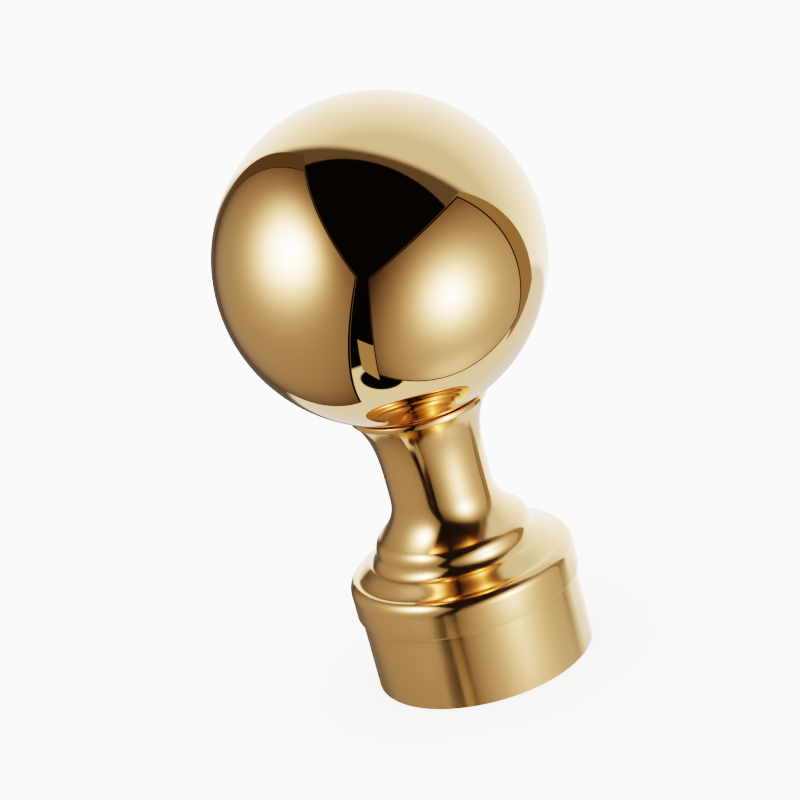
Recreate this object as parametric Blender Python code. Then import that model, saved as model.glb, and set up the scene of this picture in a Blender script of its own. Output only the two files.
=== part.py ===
"""A ball finial for the top of a round flagpole or post.

A polished ball sits on the rim of a spun neck. The neck's long curve ends below in a rounded bead. A hollow
leads from the bead to a sloped shoulder with a round corner, and a short skirt hangs from that. A plain
sleeve is pushed up inside the skirt, and the pole goes into the sleeve. The origin is the centre of the
sleeve's bottom rim, and +Z runs up the axis.
"""

import math

import bmesh
import bpy
from mathutils import Vector
from mathutils.geometry import interpolate_bezier

# Driving dimensions, in metres.

BALL_DIAMETER = 0.100

SLEEVE_DIAMETER = 0.068
SLEEVE_WALL = 0.0015
SLEEVE_SHOWING = 0.024
SLEEVE_EDGE_BREAK = 0.0003

NECK_WALL = 0.0008
SKIRT_HEIGHT = 0.0078
SKIRT_EDGE_BREAK = 0.0003
SHOULDER_CORNER_RADIUS = 0.0039
SHOULDER_CORNER_START = math.radians(17)
SLOPE_EASE = 0.18

HOLLOW_RADIUS = 0.0049
HOLLOW_START = math.radians(85)
HOLLOW_END = math.radians(26)

BEAD_DIAMETER = 0.0484
BEAD_HEIGHT = 0.0109
BEAD_ROUND_RADIUS = 0.0051
BEAD_START = math.radians(39)

LOWER_FLARE_HEIGHT = 0.0129
THROAT_DIAMETER = 0.0319
UPPER_FLARE_HEIGHT = 0.0262
UPPER_FLARE_POWER = 3.7

RIM_DIAMETER = 0.0426
RIM_HEIGHT = 0.0020
RIM_STEP = 0.0006
RIM_EDGE_ROUND = 0.0005

# The pieces touch in the real object. Here each pair keeps this clearance.
TOUCH_GAP = 0.0003

# How finely the round forms are cut into flat faces. Every piece has the same sides, so the facets line up.
SIDES = 48
BALL_RINGS = 24
FLARE_STEPS = 7
ROUND_STEPS = 5
INSIDE_FLARE_STEPS = 4
INSIDE_ROUND_STEPS = 3
EDGE_STEPS = 2
CREASE_ANGLE = math.radians(32)

# Radii and heights that follow from the sizes above.

BALL_RADIUS = BALL_DIAMETER / 2
SLEEVE_RADIUS = SLEEVE_DIAMETER / 2
SKIRT_BORE_RADIUS = SLEEVE_RADIUS + TOUCH_GAP
SKIRT_RADIUS = SKIRT_BORE_RADIUS + NECK_WALL
BEAD_RADIUS = BEAD_DIAMETER / 2
THROAT_RADIUS = THROAT_DIAMETER / 2
RIM_RADIUS = RIM_DIAMETER / 2

LIP_Z = SLEEVE_SHOWING
SHOULDER_FOOT_Z = LIP_Z + SKIRT_HEIGHT
BEAD_CENTRE = Vector((BEAD_RADIUS - BEAD_ROUND_RADIUS, SHOULDER_FOOT_Z + BEAD_HEIGHT))
BEAD_TOP_RADIUS = BEAD_CENTRE.x + BEAD_ROUND_RADIUS * math.sin(BEAD_START)
BEAD_TOP_Z = BEAD_CENTRE.y + BEAD_ROUND_RADIUS * math.cos(BEAD_START)
THROAT_Z = BEAD_TOP_Z + LOWER_FLARE_HEIGHT
RIM_FOOT_Z = THROAT_Z + UPPER_FLARE_HEIGHT
RIM_FOOT_RADIUS = RIM_RADIUS - RIM_STEP

# The rim's top is a band of a sphere, one touching gap outside the ball.
SEAT_SPHERE_RADIUS = BALL_RADIUS + TOUCH_GAP
SEAT_OUTER_RADIUS = RIM_RADIUS - RIM_EDGE_ROUND
SEAT_INNER_RADIUS = SEAT_OUTER_RADIUS - NECK_WALL
SEAT_OUTER_Z = RIM_FOOT_Z + RIM_HEIGHT
BALL_Z = SEAT_OUTER_Z + math.sqrt(SEAT_SPHERE_RADIUS**2 - SEAT_OUTER_RADIUS**2)


def shares(steps, start=0.0, end=1.0):
    """Return steps + 1 evenly spaced values from start to end."""
    return [start + (end - start) * index / steps for index in range(steps + 1)]


def ellipse_arc(centre, width, height, angles):
    """Return points of an ellipse, with each angle measured from straight up, turning outwards."""
    return [
        (centre[0] + width * math.sin(angle), centre[1] + height * math.cos(angle))
        for angle in angles
    ]


def seat_points(steps):
    """Return the rim's top band, from its inner edge to its outer edge."""
    radii = shares(steps, SEAT_INNER_RADIUS, SEAT_OUTER_RADIUS)
    return [(radius, BALL_Z - math.sqrt(SEAT_SPHERE_RADIUS**2 - radius**2)) for radius in radii]


def rim_edge_points(steps):
    """Return the rim's outer face below the seat: a rounded upper edge, a band and a rounded lower edge."""
    centre_radius = RIM_RADIUS - RIM_EDGE_ROUND
    upper_centre = (centre_radius, SEAT_OUTER_Z - RIM_EDGE_ROUND)
    lower_centre = (centre_radius, RIM_FOOT_Z + RIM_EDGE_ROUND)
    upper = ellipse_arc(upper_centre, RIM_EDGE_ROUND, RIM_EDGE_ROUND, shares(steps, 0, math.pi / 2))
    lower = ellipse_arc(lower_centre, RIM_EDGE_ROUND, RIM_EDGE_ROUND, shares(steps, math.pi / 2, math.pi))
    return upper[1:] + lower


def upper_flare_points(steps):
    """Return the neck's upper curve, from under the rim down to the throat."""
    spread = RIM_FOOT_RADIUS - THROAT_RADIUS
    return [
        (THROAT_RADIUS + spread * share**UPPER_FLARE_POWER, THROAT_Z + UPPER_FLARE_HEIGHT * share)
        for share in shares(steps, 1, 0)
    ]


def lower_flare_points(steps):
    """Return the neck's lower curve, from the throat down to the bead, where it has the bead's slope."""
    spread = BEAD_TOP_RADIUS - THROAT_RADIUS
    power = LOWER_FLARE_HEIGHT / (math.tan(BEAD_START) * spread)
    return [
        (THROAT_RADIUS + spread * share**power, THROAT_Z - LOWER_FLARE_HEIGHT * share)
        for share in shares(steps)
    ]


def bead_points(steps):
    """Return the bead's round, from the end of the neck's curve down to the hollow."""
    angles = shares(steps, BEAD_START, HOLLOW_START)
    return ellipse_arc(BEAD_CENTRE, BEAD_ROUND_RADIUS, BEAD_ROUND_RADIUS, angles)


def hollow_points(steps):
    """Return the hollow under the bead. It curves the other way, about a centre outside the metal."""
    outwards = Vector((math.sin(HOLLOW_START), math.cos(HOLLOW_START)))
    centre = BEAD_CENTRE + outwards * (BEAD_ROUND_RADIUS + HOLLOW_RADIUS)
    angles = shares(steps, HOLLOW_START, HOLLOW_END)
    return ellipse_arc(centre, -HOLLOW_RADIUS, -HOLLOW_RADIUS, angles)


def corner_points(steps):
    """Return the shoulder's round corner, from the end of its slope down to the skirt."""
    centre = (SKIRT_RADIUS - SHOULDER_CORNER_RADIUS, SHOULDER_FOOT_Z)
    angles = shares(steps, SHOULDER_CORNER_START, math.pi / 2)
    return ellipse_arc(centre, SHOULDER_CORNER_RADIUS, SHOULDER_CORNER_RADIUS, angles)


def slope_points(steps):
    """Return the shoulder's slope, eased into the hollow above it and the corner below it."""
    start = Vector(hollow_points(1)[-1])
    end = Vector(corner_points(1)[0])
    ease = (end - start).length * SLOPE_EASE
    leave = Vector((math.cos(HOLLOW_END), -math.sin(HOLLOW_END))) * ease
    arrive = Vector((math.cos(SHOULDER_CORNER_START), -math.sin(SHOULDER_CORNER_START))) * ease
    return [tuple(point) for point in interpolate_bezier(start, start + leave, end - arrive, end, steps + 1)]


def neck_curve(flare_steps, round_steps):
    """Return the neck's smooth outer curve, from under the rim down to the top of the skirt."""
    return (
        upper_flare_points(flare_steps)
        + lower_flare_points(flare_steps)[1:]
        + bead_points(round_steps)[1:]
        + hollow_points(round_steps)[1:]
        + slope_points(round_steps)[1:]
        + corner_points(round_steps)[1:]
    )


def set_inwards(points, distance):
    """Move each point of an outline that runs down the outer side inwards by the distance."""
    moved = []
    for index, point in enumerate(points):
        before = Vector(points[max(index - 1, 0)])
        after = Vector(points[min(index + 1, len(points) - 1)])
        run = (after - before).normalized()
        moved.append((point[0] + run.y * distance, point[1] - run.x * distance))
    return moved


def neck_outside():
    """Return the neck's outer outline, from the seat's inner edge down to the skirt's lip."""
    lip_centre = (SKIRT_RADIUS - SKIRT_EDGE_BREAK, LIP_Z + SKIRT_EDGE_BREAK)
    lip_angles = shares(EDGE_STEPS, math.pi / 2, math.pi)
    lip = ellipse_arc(lip_centre, SKIRT_EDGE_BREAK, SKIRT_EDGE_BREAK, lip_angles)
    return (
        seat_points(EDGE_STEPS)
        + rim_edge_points(EDGE_STEPS)
        + neck_curve(FLARE_STEPS, ROUND_STEPS)
        + lip
    )


def neck_inside():
    """Return the neck's inner outline, from the top of its bore down to the lip of the skirt's bore."""
    bore = set_inwards(neck_curve(INSIDE_FLARE_STEPS, INSIDE_ROUND_STEPS), NECK_WALL)
    return bore + [(SKIRT_BORE_RADIUS, LIP_Z)]


def ball_outline():
    """Return the ball's outline from its top pole down to its bottom pole."""
    return ellipse_arc((0, BALL_Z), BALL_RADIUS, BALL_RADIUS, shares(BALL_RINGS, 0, math.pi))


def sleeve_outline():
    """Return the sleeve's closed outline. It runs up to the foot of the shoulder, inside the skirt."""
    top = SHOULDER_FOOT_Z - TOUCH_GAP
    bore = SLEEVE_RADIUS - SLEEVE_WALL
    return [
        (bore, top),
        (SLEEVE_RADIUS, top),
        (SLEEVE_RADIUS, SLEEVE_EDGE_BREAK),
        (SLEEVE_RADIUS - SLEEVE_EDGE_BREAK, 0),
        (bore, 0),
    ]


def turn(name, outline, closed, material):
    """Spin an outline once about the axis and return the closed body as an object."""
    mesh = bpy.data.meshes.new(name)
    body = bpy.data.objects.new(name, mesh)
    bpy.context.collection.objects.link(body)
    shape = bmesh.new()
    ring = [shape.verts.new((radius, 0, height)) for radius, height in outline]
    edges = [shape.edges.new(pair) for pair in zip(ring, ring[1:])]
    if closed:
        edges.append(shape.edges.new((ring[-1], ring[0])))
    bmesh.ops.spin(
        shape,
        geom=ring + edges,
        cent=(0, 0, 0),
        axis=(0, 0, 1),
        angle=2 * math.pi,
        steps=SIDES,
        use_merge=True,
    )
    bmesh.ops.remove_doubles(shape, verts=shape.verts, dist=1e-6)
    bmesh.ops.recalc_face_normals(shape, faces=shape.faces)
    shape.to_mesh(mesh)
    shape.free()
    mesh.materials.append(material)
    mesh.shade_smooth()
    mesh.set_sharp_from_angle(angle=CREASE_ANGLE)
    return body


def polished_metal(name, colour, roughness):
    """Return a metal material with its own colour and polish."""
    material = bpy.data.materials.new(name)
    material.use_nodes = True
    shader = material.node_tree.nodes["Principled BSDF"]
    shader.inputs["Base Color"].default_value = (*colour, 1)
    shader.inputs["Metallic"].default_value = 1
    shader.inputs["Roughness"].default_value = roughness
    return material


def make_ball():
    """Make the round ball."""
    gold = polished_metal("mirror_gold_ball", (0.90, 0.63, 0.30), 0.03)
    return turn("ball", ball_outline(), False, gold)


def make_neck():
    """Make the spun shell that carries the ball."""
    gold = polished_metal("polished_gold_neck", (0.88, 0.61, 0.29), 0.08)
    return turn("neck", neck_outside() + neck_inside()[::-1], True, gold)


def make_sleeve():
    """Make the socket tube that the pole goes into."""
    gold = polished_metal("polished_gold_sleeve", (0.88, 0.61, 0.29), 0.10)
    return turn("sleeve", sleeve_outline(), True, gold)


def main():
    for old in list(bpy.data.objects):
        bpy.data.objects.remove(old, do_unlink=True)
    make_ball()
    make_neck()
    make_sleeve()


main()
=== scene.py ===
"""Looks of a polished ball finial: fine turned pieces, their metal and the photo studio around them."""

import math

import bpy
from mathutils import Matrix, Vector
from mathutils.geometry import interpolate_bezier


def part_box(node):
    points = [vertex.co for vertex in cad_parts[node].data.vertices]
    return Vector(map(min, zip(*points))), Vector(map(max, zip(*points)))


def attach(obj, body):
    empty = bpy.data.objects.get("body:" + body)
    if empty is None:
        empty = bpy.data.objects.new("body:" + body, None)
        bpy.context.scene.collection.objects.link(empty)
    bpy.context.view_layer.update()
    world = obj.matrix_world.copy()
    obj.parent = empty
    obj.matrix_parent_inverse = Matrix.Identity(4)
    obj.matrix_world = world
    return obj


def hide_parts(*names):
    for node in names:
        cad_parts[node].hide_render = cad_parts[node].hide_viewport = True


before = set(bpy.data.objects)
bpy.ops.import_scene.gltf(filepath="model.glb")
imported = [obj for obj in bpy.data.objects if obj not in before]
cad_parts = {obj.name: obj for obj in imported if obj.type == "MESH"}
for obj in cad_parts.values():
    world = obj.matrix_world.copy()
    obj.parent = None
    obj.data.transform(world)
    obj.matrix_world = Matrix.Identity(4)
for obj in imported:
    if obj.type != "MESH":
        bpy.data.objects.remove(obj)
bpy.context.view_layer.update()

MM = 0.001

# The camera, as fitted to the outlines in the photograph. The finial leans in the picture, so the camera
# is rolled instead, and the finial stands upright on the floor.
CAMERA_LENS = 135
CAMERA_SENSOR = 36
CAMERA_PLACE = Vector((-5.056, -849.095, 398.279)) * MM
CAMERA_DOWN = math.radians(20.013)
CAMERA_ROLL = math.radians(15.125)

# Sizes that the frame gives.
BALL_LOW, BALL_HIGH = (Vector(corner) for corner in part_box("ball"))
NECK_LOW, NECK_HIGH = (Vector(corner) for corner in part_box("neck"))
SLEEVE_HIGH = Vector(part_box("sleeve")[1])
BALL_RADIUS = (BALL_HIGH.z - BALL_LOW.z) / 2
BALL_Z = (BALL_HIGH.z + BALL_LOW.z) / 2
BALL_CENTRE = Vector((0, 0, BALL_Z))
SKIRT_RADIUS = NECK_HIGH.x
LIP_Z = NECK_LOW.z
SEAT_OUTER_Z = NECK_HIGH.z
SLEEVE_RADIUS = SLEEVE_HIGH.x
SLEEVE_TOP_Z = SLEEVE_HIGH.z

# Sizes of the turned profile, from the skirt's lip up to the rim.
TOUCH_GAP = 0.3 * MM
NECK_WALL = SKIRT_RADIUS - SLEEVE_RADIUS - TOUCH_GAP
SKIRT_HEIGHT = 7.8 * MM
SKIRT_EDGE_BREAK = 0.3 * MM
SHOULDER_CORNER_RADIUS = 3.9 * MM
SHOULDER_CORNER_START = math.radians(17)
SLOPE_EASE = 0.18
HOLLOW_RADIUS = 4.9 * MM
HOLLOW_START = math.radians(85)
HOLLOW_END = math.radians(26)
BEAD_RADIUS = 24.2 * MM
BEAD_HEIGHT = 10.9 * MM
BEAD_ROUND_RADIUS = 5.1 * MM
BEAD_START = math.radians(39)
LOWER_FLARE_HEIGHT = 12.9 * MM
THROAT_RADIUS = 15.95 * MM
UPPER_FLARE_HEIGHT = 26.2 * MM
UPPER_FLARE_POWER = 3.7
RIM_RADIUS = 21.3 * MM
RIM_STEP = 0.6 * MM
RIM_EDGE_ROUND = 0.5 * MM
SLEEVE_WALL = 1.5 * MM
SLEEVE_EDGE_BREAK = 0.3 * MM

# Places that follow from those sizes.
SHOULDER_FOOT_Z = LIP_Z + SKIRT_HEIGHT
BEAD_CENTRE = Vector((BEAD_RADIUS - BEAD_ROUND_RADIUS, SHOULDER_FOOT_Z + BEAD_HEIGHT))
BEAD_TOP_RADIUS = BEAD_CENTRE.x + BEAD_ROUND_RADIUS * math.sin(BEAD_START)
BEAD_TOP_Z = BEAD_CENTRE.y + BEAD_ROUND_RADIUS * math.cos(BEAD_START)
THROAT_Z = BEAD_TOP_Z + LOWER_FLARE_HEIGHT
RIM_FOOT_Z = THROAT_Z + UPPER_FLARE_HEIGHT
RIM_FOOT_RADIUS = RIM_RADIUS - RIM_STEP
SEAT_SPHERE_RADIUS = BALL_RADIUS + TOUCH_GAP
SEAT_OUTER_RADIUS = RIM_RADIUS - RIM_EDGE_ROUND
SEAT_INNER_RADIUS = SEAT_OUTER_RADIUS - NECK_WALL

# How finely the turned pieces are made.
SPIN_STEPS = 240
BALL_RINGS = 240
FLARE_STEPS = 40
ROUND_STEPS = 20
EDGE_STEPS = 4
INSIDE_STEPS = 12
CREASE_ANGLE = math.radians(30)
OUTLINE_START_SIZE = 1 * MM
MERGE_DISTANCE = 0.001 * MM

# Colours, as sRGB hex.
GOLD = "F3C993"
PANEL_CLOTH = "FFF4EE"
# PANEL_HEM and PANEL_PIPING colour sheets that are no lamps but glow: the hem, piping, flaps and strip show
# painted light.
PANEL_HEM = "F2E6D8"
PANEL_PIPING = "FFF0DE"
BACKDROP_WHITE = "FFFFFF"
FLOOR_WHITE = "F4F4F2"

# The metal. Its haze is the shader's roughness. It changes from the neck's to the skirt's within the blend,
# and fine lines and large clouds of noise make it a little uneven. The lines also stand up by their depth.
LINE_SPACING = 0.4 * MM
LINE_DETAIL = 3.0
CLOUD_SIZE = 18 * MM
CLOUD_DETAIL = 4.0
NOISE_ROUGHNESS = 0.6
NOISE_RANGE = (0.1, 0.5)
HAZE_SHARE_RANGE = (0.85, 1.15)
SKIRT_BLEND = 1.0 * MM
BALL_FINISH = {"haze": 0.02, "skirt_haze": 0.02, "line_depth": 0.0002 * MM, "smear": 0.0}
NECK_FINISH = {"haze": 0.12, "skirt_haze": 0.22, "line_depth": 0.0006 * MM, "smear": 1.0}
SLEEVE_FINISH = {"haze": 0.22, "skirt_haze": 0.22, "line_depth": 0.0004 * MM, "smear": 1.0}

# The floor.
FLOOR_SIZE = 8000 * MM
FLOOR_ROUGHNESS = 0.9
FLOOR_LIGHT = 4.5

# The studio. Directions are an azimuth and a height in degrees, seen from the ball's centre: azimuth 0 is
# towards the camera and +90 is towards +X. A glow is the brightness of a surface.
#
# A softbox lies in a plane with a centre, a direction across and one upwards. Each straight edge of its
# cloth is the angle that it faces, in degrees from across towards upwards, and its distance from the
# centre. Its hem, piping, flap and strip hang parallel behind it, each a step farther from the ball. A lobe
# of its light is its brightness, its middle on the cloth, its width and the power of its fall.
SHEET_BLANK = 2000 * MM
LAYER_STEP = 0.004
# The hem, piping, flaps and strip are no lamps, yet each glows at a set strength: their brightness is painted
# light, and the hem's glow is so faint that it shows nearly black.
PANEL_HEM_WIDTH = 11 * MM
PANEL_PIPING_REACH = 16 * MM
PANEL_HEM_GLOW = 0.006
PANEL_PIPING_GLOW = 0.24
RIGHT_PANEL_CENTRE = Vector((151.2, -185.4, -209.9)) * MM
RIGHT_PANEL_AXES = ((132.2, 12.9), (13.5, 64.4))
RIGHT_PANEL_EDGES = ((0, 335 * MM), (90, 417 * MM), (180, 422 * MM), (-80, 277 * MM))
RIGHT_FLAP_EDGES = ((14, 500 * MM), (90, 440 * MM), (180, -300 * MM), (-80, 375 * MM))
RIGHT_FLAP_GLOW = 0.27
STRIP_EDGES = ((0, -436 * MM), (90, -60 * MM), (180, 690 * MM), (-90, 470 * MM))
STRIP_GLOW = 0.34
RIGHT_PANEL_EDGE_GLOW = 0.03
RIGHT_PANEL_LOBES = (
    (0.46, (93 * MM, -97 * MM), 500 * MM, 2.5),
    (0.42, (16 * MM, -226 * MM), 117 * MM, 2.4),
    (14.0, (13 * MM, 128 * MM), 34 * MM, 0.85),
)
LEFT_PANEL_CENTRE = Vector((-258.8, 132.1, -30.3)) * MM
LEFT_PANEL_AXES = ((12.7, -36.8), (9.9, 53.2))
LEFT_PANEL_EDGES = ((0, 400 * MM), (84.5, 472 * MM), (169.4, 387 * MM), (-90, 400 * MM))
LEFT_FLAP_EDGES = ((0, -250 * MM), (84.5, 485 * MM), (169.4, 690 * MM), (-90, 400 * MM))
LEFT_FLAP_GLOW = 0.12
LEFT_PANEL_EDGE_GLOW = 0.075
LEFT_PANEL_LOBES = (
    (0.29, (78 * MM, 103 * MM), 455 * MM, 2.5),
    (0.80, (23 * MM, 295 * MM), 96 * MM, 1.55),
    (20.0, (116 * MM, 269 * MM), 38 * MM, 1.05),
)

# The far room. The backdrop is brightest straight behind. Before it are round caps of the sky, each drawn
# over the one above it: the azimuth and height of its middle, its reach, its edge's blur and its glow.
BACKDROP_MIDDLE = (180, -20)
BACKDROP_EDGE_GLOW = 0.72
BACKDROP_MIDDLE_GLOW = 2.0
ROOM_CAPS = {
    "dim surroundings": (-33.8, -25.2, 123.8, 3.0, 0.13),
    "dark room": (-29.5, -2.0, 92.5, 0.8, 0.008),
    "pale table": (130.0, -76.0, 52.0, 1.5, 0.87),
    "dark gap in the table": (-37.0, -66.5, 10.5, 0.8, 0.008),
}


def linear(hex_colour):
    """Return an sRGB hex colour as a linear RGBA value."""
    channels = [int(hex_colour[start : start + 2], 16) / 255 for start in (0, 2, 4)]
    light = [c / 12.92 if c <= 0.04045 else ((c + 0.055) / 1.055) ** 2.4 for c in channels]
    return (*light, 1)


def heading(azimuth, height):
    """Return the unit vector of a direction, given in degrees as above."""
    across = math.radians(azimuth)
    up = math.radians(height)
    return Vector((math.cos(up) * math.sin(across), -math.cos(up) * math.cos(across), math.sin(up)))


def node(tree, kind, settings=None, **inputs):
    """Add a node, set its properties and set or link its inputs. An input's name has _ for a space."""
    added = tree.nodes.new(kind)
    for name, value in (settings or {}).items():
        setattr(added, name, value)
    for name, value in inputs.items():
        key = int(name[2:]) if name.startswith("i_") else name.replace("_", " ")
        socket = added.inputs[key]
        if isinstance(value, bpy.types.NodeSocket):
            tree.links.new(value, socket)
        else:
            socket.default_value = value
    return added


def shares(steps, start=0.0, end=1.0):
    """Return steps + 1 evenly spaced values from start to end."""
    return [start + (end - start) * index / steps for index in range(steps + 1)]


def arc(centre, radius, angles):
    """Return points of a circle, with each angle measured from straight up, turning outwards."""
    return [
        (centre[0] + radius * math.sin(angle), centre[1] + radius * math.cos(angle))
        for angle in angles
    ]


def seat_points(steps):
    """Return the rim's top band, from its inner edge to its outer edge."""
    radii = shares(steps, SEAT_INNER_RADIUS, SEAT_OUTER_RADIUS)
    return [(radius, BALL_Z - math.sqrt(SEAT_SPHERE_RADIUS**2 - radius**2)) for radius in radii]


def rim_edge_points(steps):
    """Return the rim's outer face below the seat: a rounded upper edge, a band and a rounded lower edge."""
    centre_radius = RIM_RADIUS - RIM_EDGE_ROUND
    upper_centre = (centre_radius, SEAT_OUTER_Z - RIM_EDGE_ROUND)
    lower_centre = (centre_radius, RIM_FOOT_Z + RIM_EDGE_ROUND)
    upper = arc(upper_centre, RIM_EDGE_ROUND, shares(steps, 0, math.pi / 2))
    lower = arc(lower_centre, RIM_EDGE_ROUND, shares(steps, math.pi / 2, math.pi))
    return upper[1:] + lower


def upper_flare_points(steps):
    """Return the neck's upper curve, from under the rim down to the throat."""
    spread = RIM_FOOT_RADIUS - THROAT_RADIUS
    return [
        (THROAT_RADIUS + spread * share**UPPER_FLARE_POWER, THROAT_Z + UPPER_FLARE_HEIGHT * share)
        for share in shares(steps, 1, 0)
    ]


def lower_flare_points(steps):
    """Return the neck's lower curve, from the throat down to the bead, where it has the bead's slope."""
    spread = BEAD_TOP_RADIUS - THROAT_RADIUS
    power = LOWER_FLARE_HEIGHT / (math.tan(BEAD_START) * spread)
    return [
        (THROAT_RADIUS + spread * share**power, THROAT_Z - LOWER_FLARE_HEIGHT * share)
        for share in shares(steps)
    ]


def bead_points(steps):
    """Return the bead's round, from the end of the neck's curve down to the hollow."""
    angles = shares(steps, BEAD_START, HOLLOW_START)
    return arc(BEAD_CENTRE, BEAD_ROUND_RADIUS, angles)


def hollow_points(steps):
    """Return the hollow under the bead. It curves the other way, about a centre outside the metal."""
    outwards = Vector((math.sin(HOLLOW_START), math.cos(HOLLOW_START)))
    centre = BEAD_CENTRE + outwards * (BEAD_ROUND_RADIUS + HOLLOW_RADIUS)
    angles = shares(steps, HOLLOW_START, HOLLOW_END)
    return arc(centre, -HOLLOW_RADIUS, angles)


def corner_points(steps):
    """Return the shoulder's round corner, from the end of its slope down to the skirt."""
    centre = (SKIRT_RADIUS - SHOULDER_CORNER_RADIUS, SHOULDER_FOOT_Z)
    angles = shares(steps, SHOULDER_CORNER_START, math.pi / 2)
    return arc(centre, SHOULDER_CORNER_RADIUS, angles)


def slope_points(steps):
    """Return the shoulder's slope, eased into the hollow above it and the corner below it."""
    start = Vector(hollow_points(1)[-1])
    end = Vector(corner_points(1)[0])
    ease = (end - start).length * SLOPE_EASE
    leave = Vector((math.cos(HOLLOW_END), -math.sin(HOLLOW_END))) * ease
    arrive = Vector((math.cos(SHOULDER_CORNER_START), -math.sin(SHOULDER_CORNER_START))) * ease
    return [tuple(point) for point in interpolate_bezier(start, start + leave, end - arrive, end, steps + 1)]


def neck_curve(flare_steps, round_steps):
    """Return the neck's smooth outer curve, from under the rim down to the top of the skirt."""
    return (
        upper_flare_points(flare_steps)
        + lower_flare_points(flare_steps)[1:]
        + bead_points(round_steps)[1:]
        + hollow_points(round_steps)[1:]
        + slope_points(round_steps)[1:]
        + corner_points(round_steps)[1:]
    )


def set_inwards(points, distance):
    """Move each point of an outline that runs down the outer side inwards by the distance."""
    moved = []
    for index, point in enumerate(points):
        before = Vector(points[max(index - 1, 0)])
        after = Vector(points[min(index + 1, len(points) - 1)])
        run = (after - before).normalized()
        moved.append((point[0] + run.y * distance, point[1] - run.x * distance))
    return moved


def neck_outside():
    """Return the neck's outer outline, from the seat's inner edge down to the skirt's lip."""
    lip_centre = (SKIRT_RADIUS - SKIRT_EDGE_BREAK, LIP_Z + SKIRT_EDGE_BREAK)
    lip_angles = shares(EDGE_STEPS, math.pi / 2, math.pi)
    lip = arc(lip_centre, SKIRT_EDGE_BREAK, lip_angles)
    return seat_points(EDGE_STEPS) + rim_edge_points(EDGE_STEPS) + neck_curve(FLARE_STEPS, ROUND_STEPS) + lip


def neck_inside():
    """Return the neck's inner outline, from the top of its bore down to the lip of the skirt's bore."""
    bore = set_inwards(neck_curve(INSIDE_STEPS, INSIDE_STEPS), NECK_WALL)
    return bore + [(SLEEVE_RADIUS + TOUCH_GAP, LIP_Z)]


def sleeve_outline():
    """Return the sleeve's closed outline, with a small break at its lower outer edge."""
    bore = SLEEVE_RADIUS - SLEEVE_WALL
    edge_centre = (SLEEVE_RADIUS - SLEEVE_EDGE_BREAK, SLEEVE_EDGE_BREAK)
    edge_angles = shares(EDGE_STEPS, math.pi / 2, math.pi)
    edge = arc(edge_centre, SLEEVE_EDGE_BREAK, edge_angles)
    return [(bore, SLEEVE_TOP_Z), (SLEEVE_RADIUS, SLEEVE_TOP_Z)] + edge + [(bore, 0)]


def finish_turning(name):
    """Spin the outline in edit mode once about the axis and close it into one smooth body."""
    bpy.ops.mesh.select_all(action="SELECT")
    bpy.ops.mesh.spin(steps=SPIN_STEPS, angle=2 * math.pi, center=(0, 0, 0), axis=(0, 0, 1))
    bpy.ops.mesh.select_all(action="SELECT")
    bpy.ops.mesh.remove_doubles(threshold=MERGE_DISTANCE)
    bpy.ops.mesh.normals_make_consistent(inside=False)
    bpy.ops.object.mode_set(mode="OBJECT")
    bpy.ops.object.transform_apply(location=True, rotation=True, scale=True)
    bpy.ops.object.shade_smooth_by_angle(angle=CREASE_ANGLE)
    piece = bpy.context.object
    piece.name = name
    return piece


def turn_outline(name, outline):
    """Draw a closed outline by extruding one corner after another, then turn it on the lathe."""
    bpy.ops.object.select_all(action="DESELECT")
    first = outline[0]
    bpy.ops.mesh.primitive_plane_add(size=OUTLINE_START_SIZE, location=(0, 0, 0))
    bpy.ops.object.mode_set(mode="EDIT")
    bpy.ops.mesh.merge(type="CENTER")
    bpy.ops.transform.translate(value=(first[0], 0, first[1]))
    for before, after in zip(outline, outline[1:]):
        step = (after[0] - before[0], 0, after[1] - before[1])
        bpy.ops.mesh.extrude_region_move(TRANSFORM_OT_translate={"value": step})
    back = (first[0] - outline[-1][0], 0, first[1] - outline[-1][1])
    bpy.ops.mesh.extrude_region_move(TRANSFORM_OT_translate={"value": back})
    bpy.ops.mesh.select_all(action="SELECT")
    bpy.ops.mesh.remove_doubles(threshold=MERGE_DISTANCE)
    return finish_turning(name)


def make_ball():
    """Turn the ball: a circle halved along the axis, then spun."""
    bpy.ops.object.select_all(action="DESELECT")
    bpy.ops.mesh.primitive_circle_add(
        vertices=BALL_RINGS, radius=BALL_RADIUS, location=(0, 0, 0), rotation=(math.pi / 2, 0, 0)
    )
    bpy.ops.object.transform_apply(location=False, rotation=True, scale=False)
    bpy.ops.object.mode_set(mode="EDIT")
    bpy.ops.mesh.select_all(action="SELECT")
    bpy.ops.mesh.bisect(
        plane_co=(0, 0, 0), plane_no=(1, 0, 0), clear_inner=True, threshold=MERGE_DISTANCE
    )
    bpy.ops.mesh.select_all(action="SELECT")
    bpy.ops.transform.translate(value=BALL_CENTRE)
    return finish_turning("ball_polished")


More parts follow.
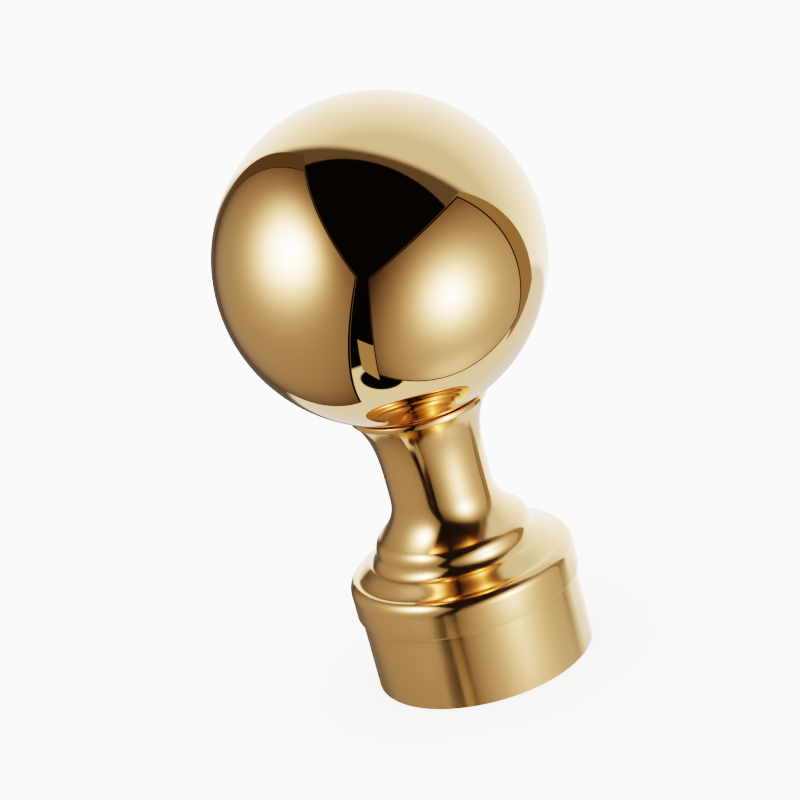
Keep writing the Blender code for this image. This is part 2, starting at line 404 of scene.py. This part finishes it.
def mirror_gold(name, haze, skirt_haze, line_depth, smear):
    """Buffed and polished brass: a hard, pale gold mirror with faint buffing haze.

    The eye sees a clean picture of the room in it, a little softened where the buffing wheel went round.
    Lines go round the axis, about 0.4 mm apart. Real buffing lines are finer than a pixel, so they are
    drawn coarser here. Where they are deep enough, they smear the picture along the axis: smear is the
    share of this, from 0 to 1. Below the shoulder the haze is the skirt's.
    """
    material = bpy.data.materials.new(name)
    material.use_nodes = True
    tree = material.node_tree
    shader = tree.nodes["Principled BSDF"]
    shader.inputs["Base Color"].default_value = linear(GOLD)
    shader.inputs["Metallic"].default_value = 1
    place = node(tree, "ShaderNodeTexCoord").outputs["Object"]
    parts = node(tree, "ShaderNodeSeparateXYZ", Vector=place).outputs
    flat = node(tree, "ShaderNodeCombineXYZ", X=parts["X"], Y=parts["Y"]).outputs["Vector"]
    radius = node(tree, "ShaderNodeVectorMath", {"operation": "LENGTH"}, i_0=flat).outputs["Value"]
    turned = node(tree, "ShaderNodeCombineXYZ", X=radius, Z=parts["Z"]).outputs["Vector"]
    noises = ((turned, LINE_SPACING, LINE_DETAIL), (place, CLOUD_SIZE, CLOUD_DETAIL))
    lines, clouds = (
        node(
            tree, "ShaderNodeTexNoise", Vector=where, Scale=1 / size, Detail=detail, Roughness=NOISE_ROUGHNESS
        ).outputs["Fac"]
        for where, size, detail in noises
    )
    blend = node(tree, "ShaderNodeMath", {"operation": "MULTIPLY"}, i_0=lines, i_1=clouds).outputs["Value"]
    uneven = node(
        tree,
        "ShaderNodeMapRange",
        Value=blend,
        From_Min=NOISE_RANGE[0],
        From_Max=NOISE_RANGE[1],
        To_Min=HAZE_SHARE_RANGE[0],
        To_Max=HAZE_SHARE_RANGE[1],
    ).outputs["Result"]
    even = node(
        tree,
        "ShaderNodeMapRange",
        Value=parts["Z"],
        From_Min=SHOULDER_FOOT_Z - SKIRT_BLEND,
        From_Max=SHOULDER_FOOT_Z + SKIRT_BLEND,
        To_Min=skirt_haze,
        To_Max=haze,
    ).outputs["Result"]
    rough = node(tree, "ShaderNodeMath", {"operation": "MULTIPLY"}, i_0=uneven, i_1=even).outputs["Value"]
    tree.links.new(rough, shader.inputs["Roughness"])
    bump = node(tree, "ShaderNodeBump", Height=lines, Strength=1.0, Distance=line_depth).outputs["Normal"]
    tree.links.new(bump, shader.inputs["Normal"])
    axis = node(tree, "ShaderNodeCombineXYZ", X=0.0, Y=0.0, Z=1.0).outputs["Vector"]
    tree.links.new(axis, shader.inputs["Tangent"])
    shader.inputs["Anisotropic"].default_value = smear
    return material


def dress(piece, body_node, material):
    """Give a turned piece its metal, hang it under the root body and hide the frame's node that it replaces.
    """
    piece.data.materials.clear()
    piece.data.materials.append(material)
    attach(piece, "root")
    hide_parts(body_node)


def glow(name, colour, strength):
    """Return an emission material of one colour and brightness."""
    material = bpy.data.materials.new(name)
    material.use_nodes = True
    tree = material.node_tree
    tree.nodes.clear()
    light = node(tree, "ShaderNodeEmission", Color=linear(colour), Strength=strength)
    node(tree, "ShaderNodeOutputMaterial", Surface=light.outputs["Emission"])
    return material


def lobe(tree, place, middle, width, power):
    """Return e^-(distance / width)^power about a place on the cloth: 1 there, and falling off around it."""
    away = node(tree, "ShaderNodeVectorMath", {"operation": "DISTANCE"}, i_0=place, i_1=(*middle, 0))
    shares_away = node(tree, "ShaderNodeMath", {"operation": "DIVIDE"}, i_0=away.outputs["Value"], i_1=width)
    bent = node(tree, "ShaderNodeMath", {"operation": "POWER"}, i_0=shares_away.outputs[0], i_1=power)
    down = node(tree, "ShaderNodeMath", {"operation": "MULTIPLY"}, i_0=bent.outputs[0], i_1=-1.0)
    return node(tree, "ShaderNodeMath", {"operation": "EXPONENT"}, i_0=down.outputs[0]).outputs[0]


def softbox_cloth(name, edge_glow, lobes):
    """Return a softbox's lit cloth: dim at its edges, with lobes of light where the lamp shines through."""
    material = bpy.data.materials.new(name)
    material.use_nodes = True
    tree = material.node_tree
    tree.nodes.clear()
    place = node(tree, "ShaderNodeTexCoord").outputs["Object"]
    strength = edge_glow
    for bright, middle, width, power in lobes:
        light = lobe(tree, place, middle, width, power)
        strength = node(
            tree, "ShaderNodeMath", {"operation": "MULTIPLY_ADD"}, i_0=light, i_1=bright, i_2=strength
        ).outputs[0]
    light = node(tree, "ShaderNodeEmission", Color=linear(PANEL_CLOTH), Strength=strength)
    node(tree, "ShaderNodeOutputMaterial", Surface=light.outputs["Emission"])
    return material


def seen_only_in_metal(thing):
    """Keep a studio thing out of the picture and off the floor: it shows only as a reflection."""
    thing.visible_camera = False
    thing.visible_diffuse = False
    thing.visible_shadow = False


def hang_sheet(name, centre, across, upwards, material, edges, reach):
    """Hang a flat sheet in the studio: a large plane, cut along each edge at its distance plus the reach."""
    bpy.ops.object.select_all(action="DESELECT")
    bpy.ops.mesh.primitive_plane_add(size=SHEET_BLANK)
    bpy.ops.object.mode_set(mode="EDIT")
    for angle, distance in edges:
        faces = Vector((math.cos(math.radians(angle)), math.sin(math.radians(angle)), 0))
        bpy.ops.mesh.select_all(action="SELECT")
        bpy.ops.mesh.bisect(plane_co=faces * (distance + reach), plane_no=faces, clear_outer=True)
    bpy.ops.object.mode_set(mode="OBJECT")
    sheet = bpy.context.object
    sheet.name = name
    x_axis = across.normalized()
    z_axis = across.cross(upwards).normalized()
    y_axis = z_axis.cross(x_axis)
    turn = Matrix((x_axis, y_axis, z_axis)).transposed().to_4x4()
    sheet.matrix_world = Matrix.Translation(BALL_CENTRE + centre) @ turn
    sheet.data.materials.append(material)
    seen_only_in_metal(sheet)


def hang_layers(side, centre, axes, layers):
    """Hang one softbox's sheets: each is its name, material, edges and reach past them, front to back."""
    across, upwards = (heading(*axis) for axis in axes)
    for layer, (layer_name, material, edges, reach) in enumerate(layers):
        place = centre * (1 + LAYER_STEP * layer)
        hang_sheet(f"softbox_{side}_{layer_name}", place, across, upwards, material, edges, reach)


def make_softboxes():
    """Hang the two softboxes, with a hem, piping and a flap around each, and a strip. These are no lamps but
    glowing sheets, whose painted light shows a dark hem, tan piping, a brown flap and a pale strip.
    """
    # The hem, piping, flaps and strip glow though they are no lamps: their light is painted, set by their
    # glow strengths.
    hem = glow("softbox_hem_faint_glow", PANEL_HEM, PANEL_HEM_GLOW)
    piping = glow("softbox_piping_dim_glow", PANEL_PIPING, PANEL_PIPING_GLOW)
    right_cloth = softbox_cloth("softbox_cloth_right", RIGHT_PANEL_EDGE_GLOW, RIGHT_PANEL_LOBES)
    right_flap = glow("softbox_flap_glow_right", PANEL_PIPING, RIGHT_FLAP_GLOW)
    strip = glow("glowing_cloth_strip", PANEL_PIPING, STRIP_GLOW)
    right_layers = (
        ("cloth", right_cloth, RIGHT_PANEL_EDGES, 0),
        ("hem", hem, RIGHT_PANEL_EDGES, PANEL_HEM_WIDTH),
        ("piping", piping, RIGHT_PANEL_EDGES, PANEL_PIPING_REACH),
        ("flap", right_flap, RIGHT_FLAP_EDGES, 0),
        ("strip", strip, STRIP_EDGES, 0),
    )
    hang_layers("right", RIGHT_PANEL_CENTRE, RIGHT_PANEL_AXES, right_layers)
    left_cloth = softbox_cloth("softbox_cloth_left", LEFT_PANEL_EDGE_GLOW, LEFT_PANEL_LOBES)
    left_flap = glow("softbox_flap_glow_left", PANEL_PIPING, LEFT_FLAP_GLOW)
    left_layers = (
        ("cloth", left_cloth, LEFT_PANEL_EDGES, 0),
        ("hem", hem, LEFT_PANEL_EDGES, PANEL_HEM_WIDTH),
        ("piping", piping, LEFT_PANEL_EDGES, PANEL_PIPING_REACH),
        ("flap", left_flap, LEFT_FLAP_EDGES, 0),
    )
    hang_layers("left", LEFT_PANEL_CENTRE, LEFT_PANEL_AXES, left_layers)


def make_floor():
    """Lay the plain pale floor. The metal doesn't show it, as the finial in the photograph is in the air."""
    bpy.ops.object.select_all(action="DESELECT")
    bpy.ops.mesh.primitive_plane_add(size=FLOOR_SIZE)
    floor = bpy.context.object
    floor.name = "floor"
    material = bpy.data.materials.new("matt_white_board")
    material.use_nodes = True
    shader = material.node_tree.nodes["Principled BSDF"]
    shader.inputs["Base Color"].default_value = linear(FLOOR_WHITE)
    shader.inputs["Roughness"].default_value = FLOOR_ROUGHNESS
    shader.inputs["Specular IOR Level"].default_value = 0.0
    floor.data.materials.append(material)
    floor.visible_glossy = False


def cap(tree, direction, azimuth, height, reach, blur):
    """Return 1 inside a round cap of the sky and 0 outside it, blurred by some degrees at its edge."""
    middle = heading(azimuth, height)
    cosine = node(tree, "ShaderNodeVectorMath", {"operation": "DOT_PRODUCT"}, i_0=direction, i_1=middle)
    return node(
        tree,
        "ShaderNodeMapRange",
        {"interpolation_type": "SMOOTHSTEP"},
        Value=cosine.outputs["Value"],
        From_Min=math.cos(math.radians(reach + blur)),
        From_Max=math.cos(math.radians(reach - blur)),
        To_Min=0.0,
        To_Max=1.0,
    ).outputs["Result"]


def make_room():
    """Light the far room for the metal, and the floor with one even light from all sides."""
    world = bpy.data.worlds.new("studio")
    bpy.context.scene.world = world
    world.use_nodes = True
    tree = world.node_tree
    tree.nodes.clear()
    direction = node(tree, "ShaderNodeTexCoord").outputs["Generated"]
    middle = heading(*BACKDROP_MIDDLE)
    facing = node(tree, "ShaderNodeVectorMath", {"operation": "DOT_PRODUCT"}, i_0=direction, i_1=middle)
    room = node(
        tree,
        "ShaderNodeMapRange",
        Value=facing.outputs["Value"],
        To_Min=BACKDROP_EDGE_GLOW,
        To_Max=BACKDROP_MIDDLE_GLOW,
    ).outputs["Result"]
    for azimuth, height, reach, blur, light in ROOM_CAPS.values():
        inside = cap(tree, direction, azimuth, height, reach, blur)
        room = node(tree, "ShaderNodeMix", i_0=inside, i_2=room, i_3=light).outputs[0]
    in_metal = node(tree, "ShaderNodeLightPath").outputs["Is Glossy Ray"]
    strength = node(tree, "ShaderNodeMix", i_0=in_metal, i_2=FLOOR_LIGHT, i_3=room).outputs[0]
    back = node(tree, "ShaderNodeBackground", Color=linear(BACKDROP_WHITE), Strength=strength)
    node(tree, "ShaderNodeOutputWorld", Surface=back.outputs["Background"])


def make_camera():
    """Place the camera and aim it: down by its tilt, then rolled about its own axis."""
    lens = bpy.data.cameras.new("camera")
    lens.sensor_width = CAMERA_SENSOR
    lens.lens = CAMERA_LENS
    camera = bpy.data.objects.new("camera", lens)
    bpy.context.collection.objects.link(camera)
    aim = Matrix.Rotation(math.pi / 2 - CAMERA_DOWN, 4, "X") @ Matrix.Rotation(-CAMERA_ROLL, 4, "Z")
    camera.matrix_world = Matrix.Translation(CAMERA_PLACE) @ aim
    bpy.context.scene.camera = camera


def set_tone():
    """Use a strong photographic tone curve, which turns the brightest reflections white."""
    view = bpy.context.scene.view_settings
    view.view_transform = "Filmic"
    view.look = "Very High Contrast"


def main():
    make_camera()
    make_room()
    make_softboxes()
    make_floor()
    set_tone()
    dress(make_ball(), "ball", mirror_gold("mirror_gold_ball", **BALL_FINISH))
    neck = turn_outline("neck_turned", neck_outside() + neck_inside()[::-1])
    dress(neck, "neck", mirror_gold("turned_gold_neck", **NECK_FINISH))
    sleeve = turn_outline("sleeve_turned", sleeve_outline())
    dress(sleeve, "sleeve", mirror_gold("turned_gold_sleeve", **SLEEVE_FINISH))


main()
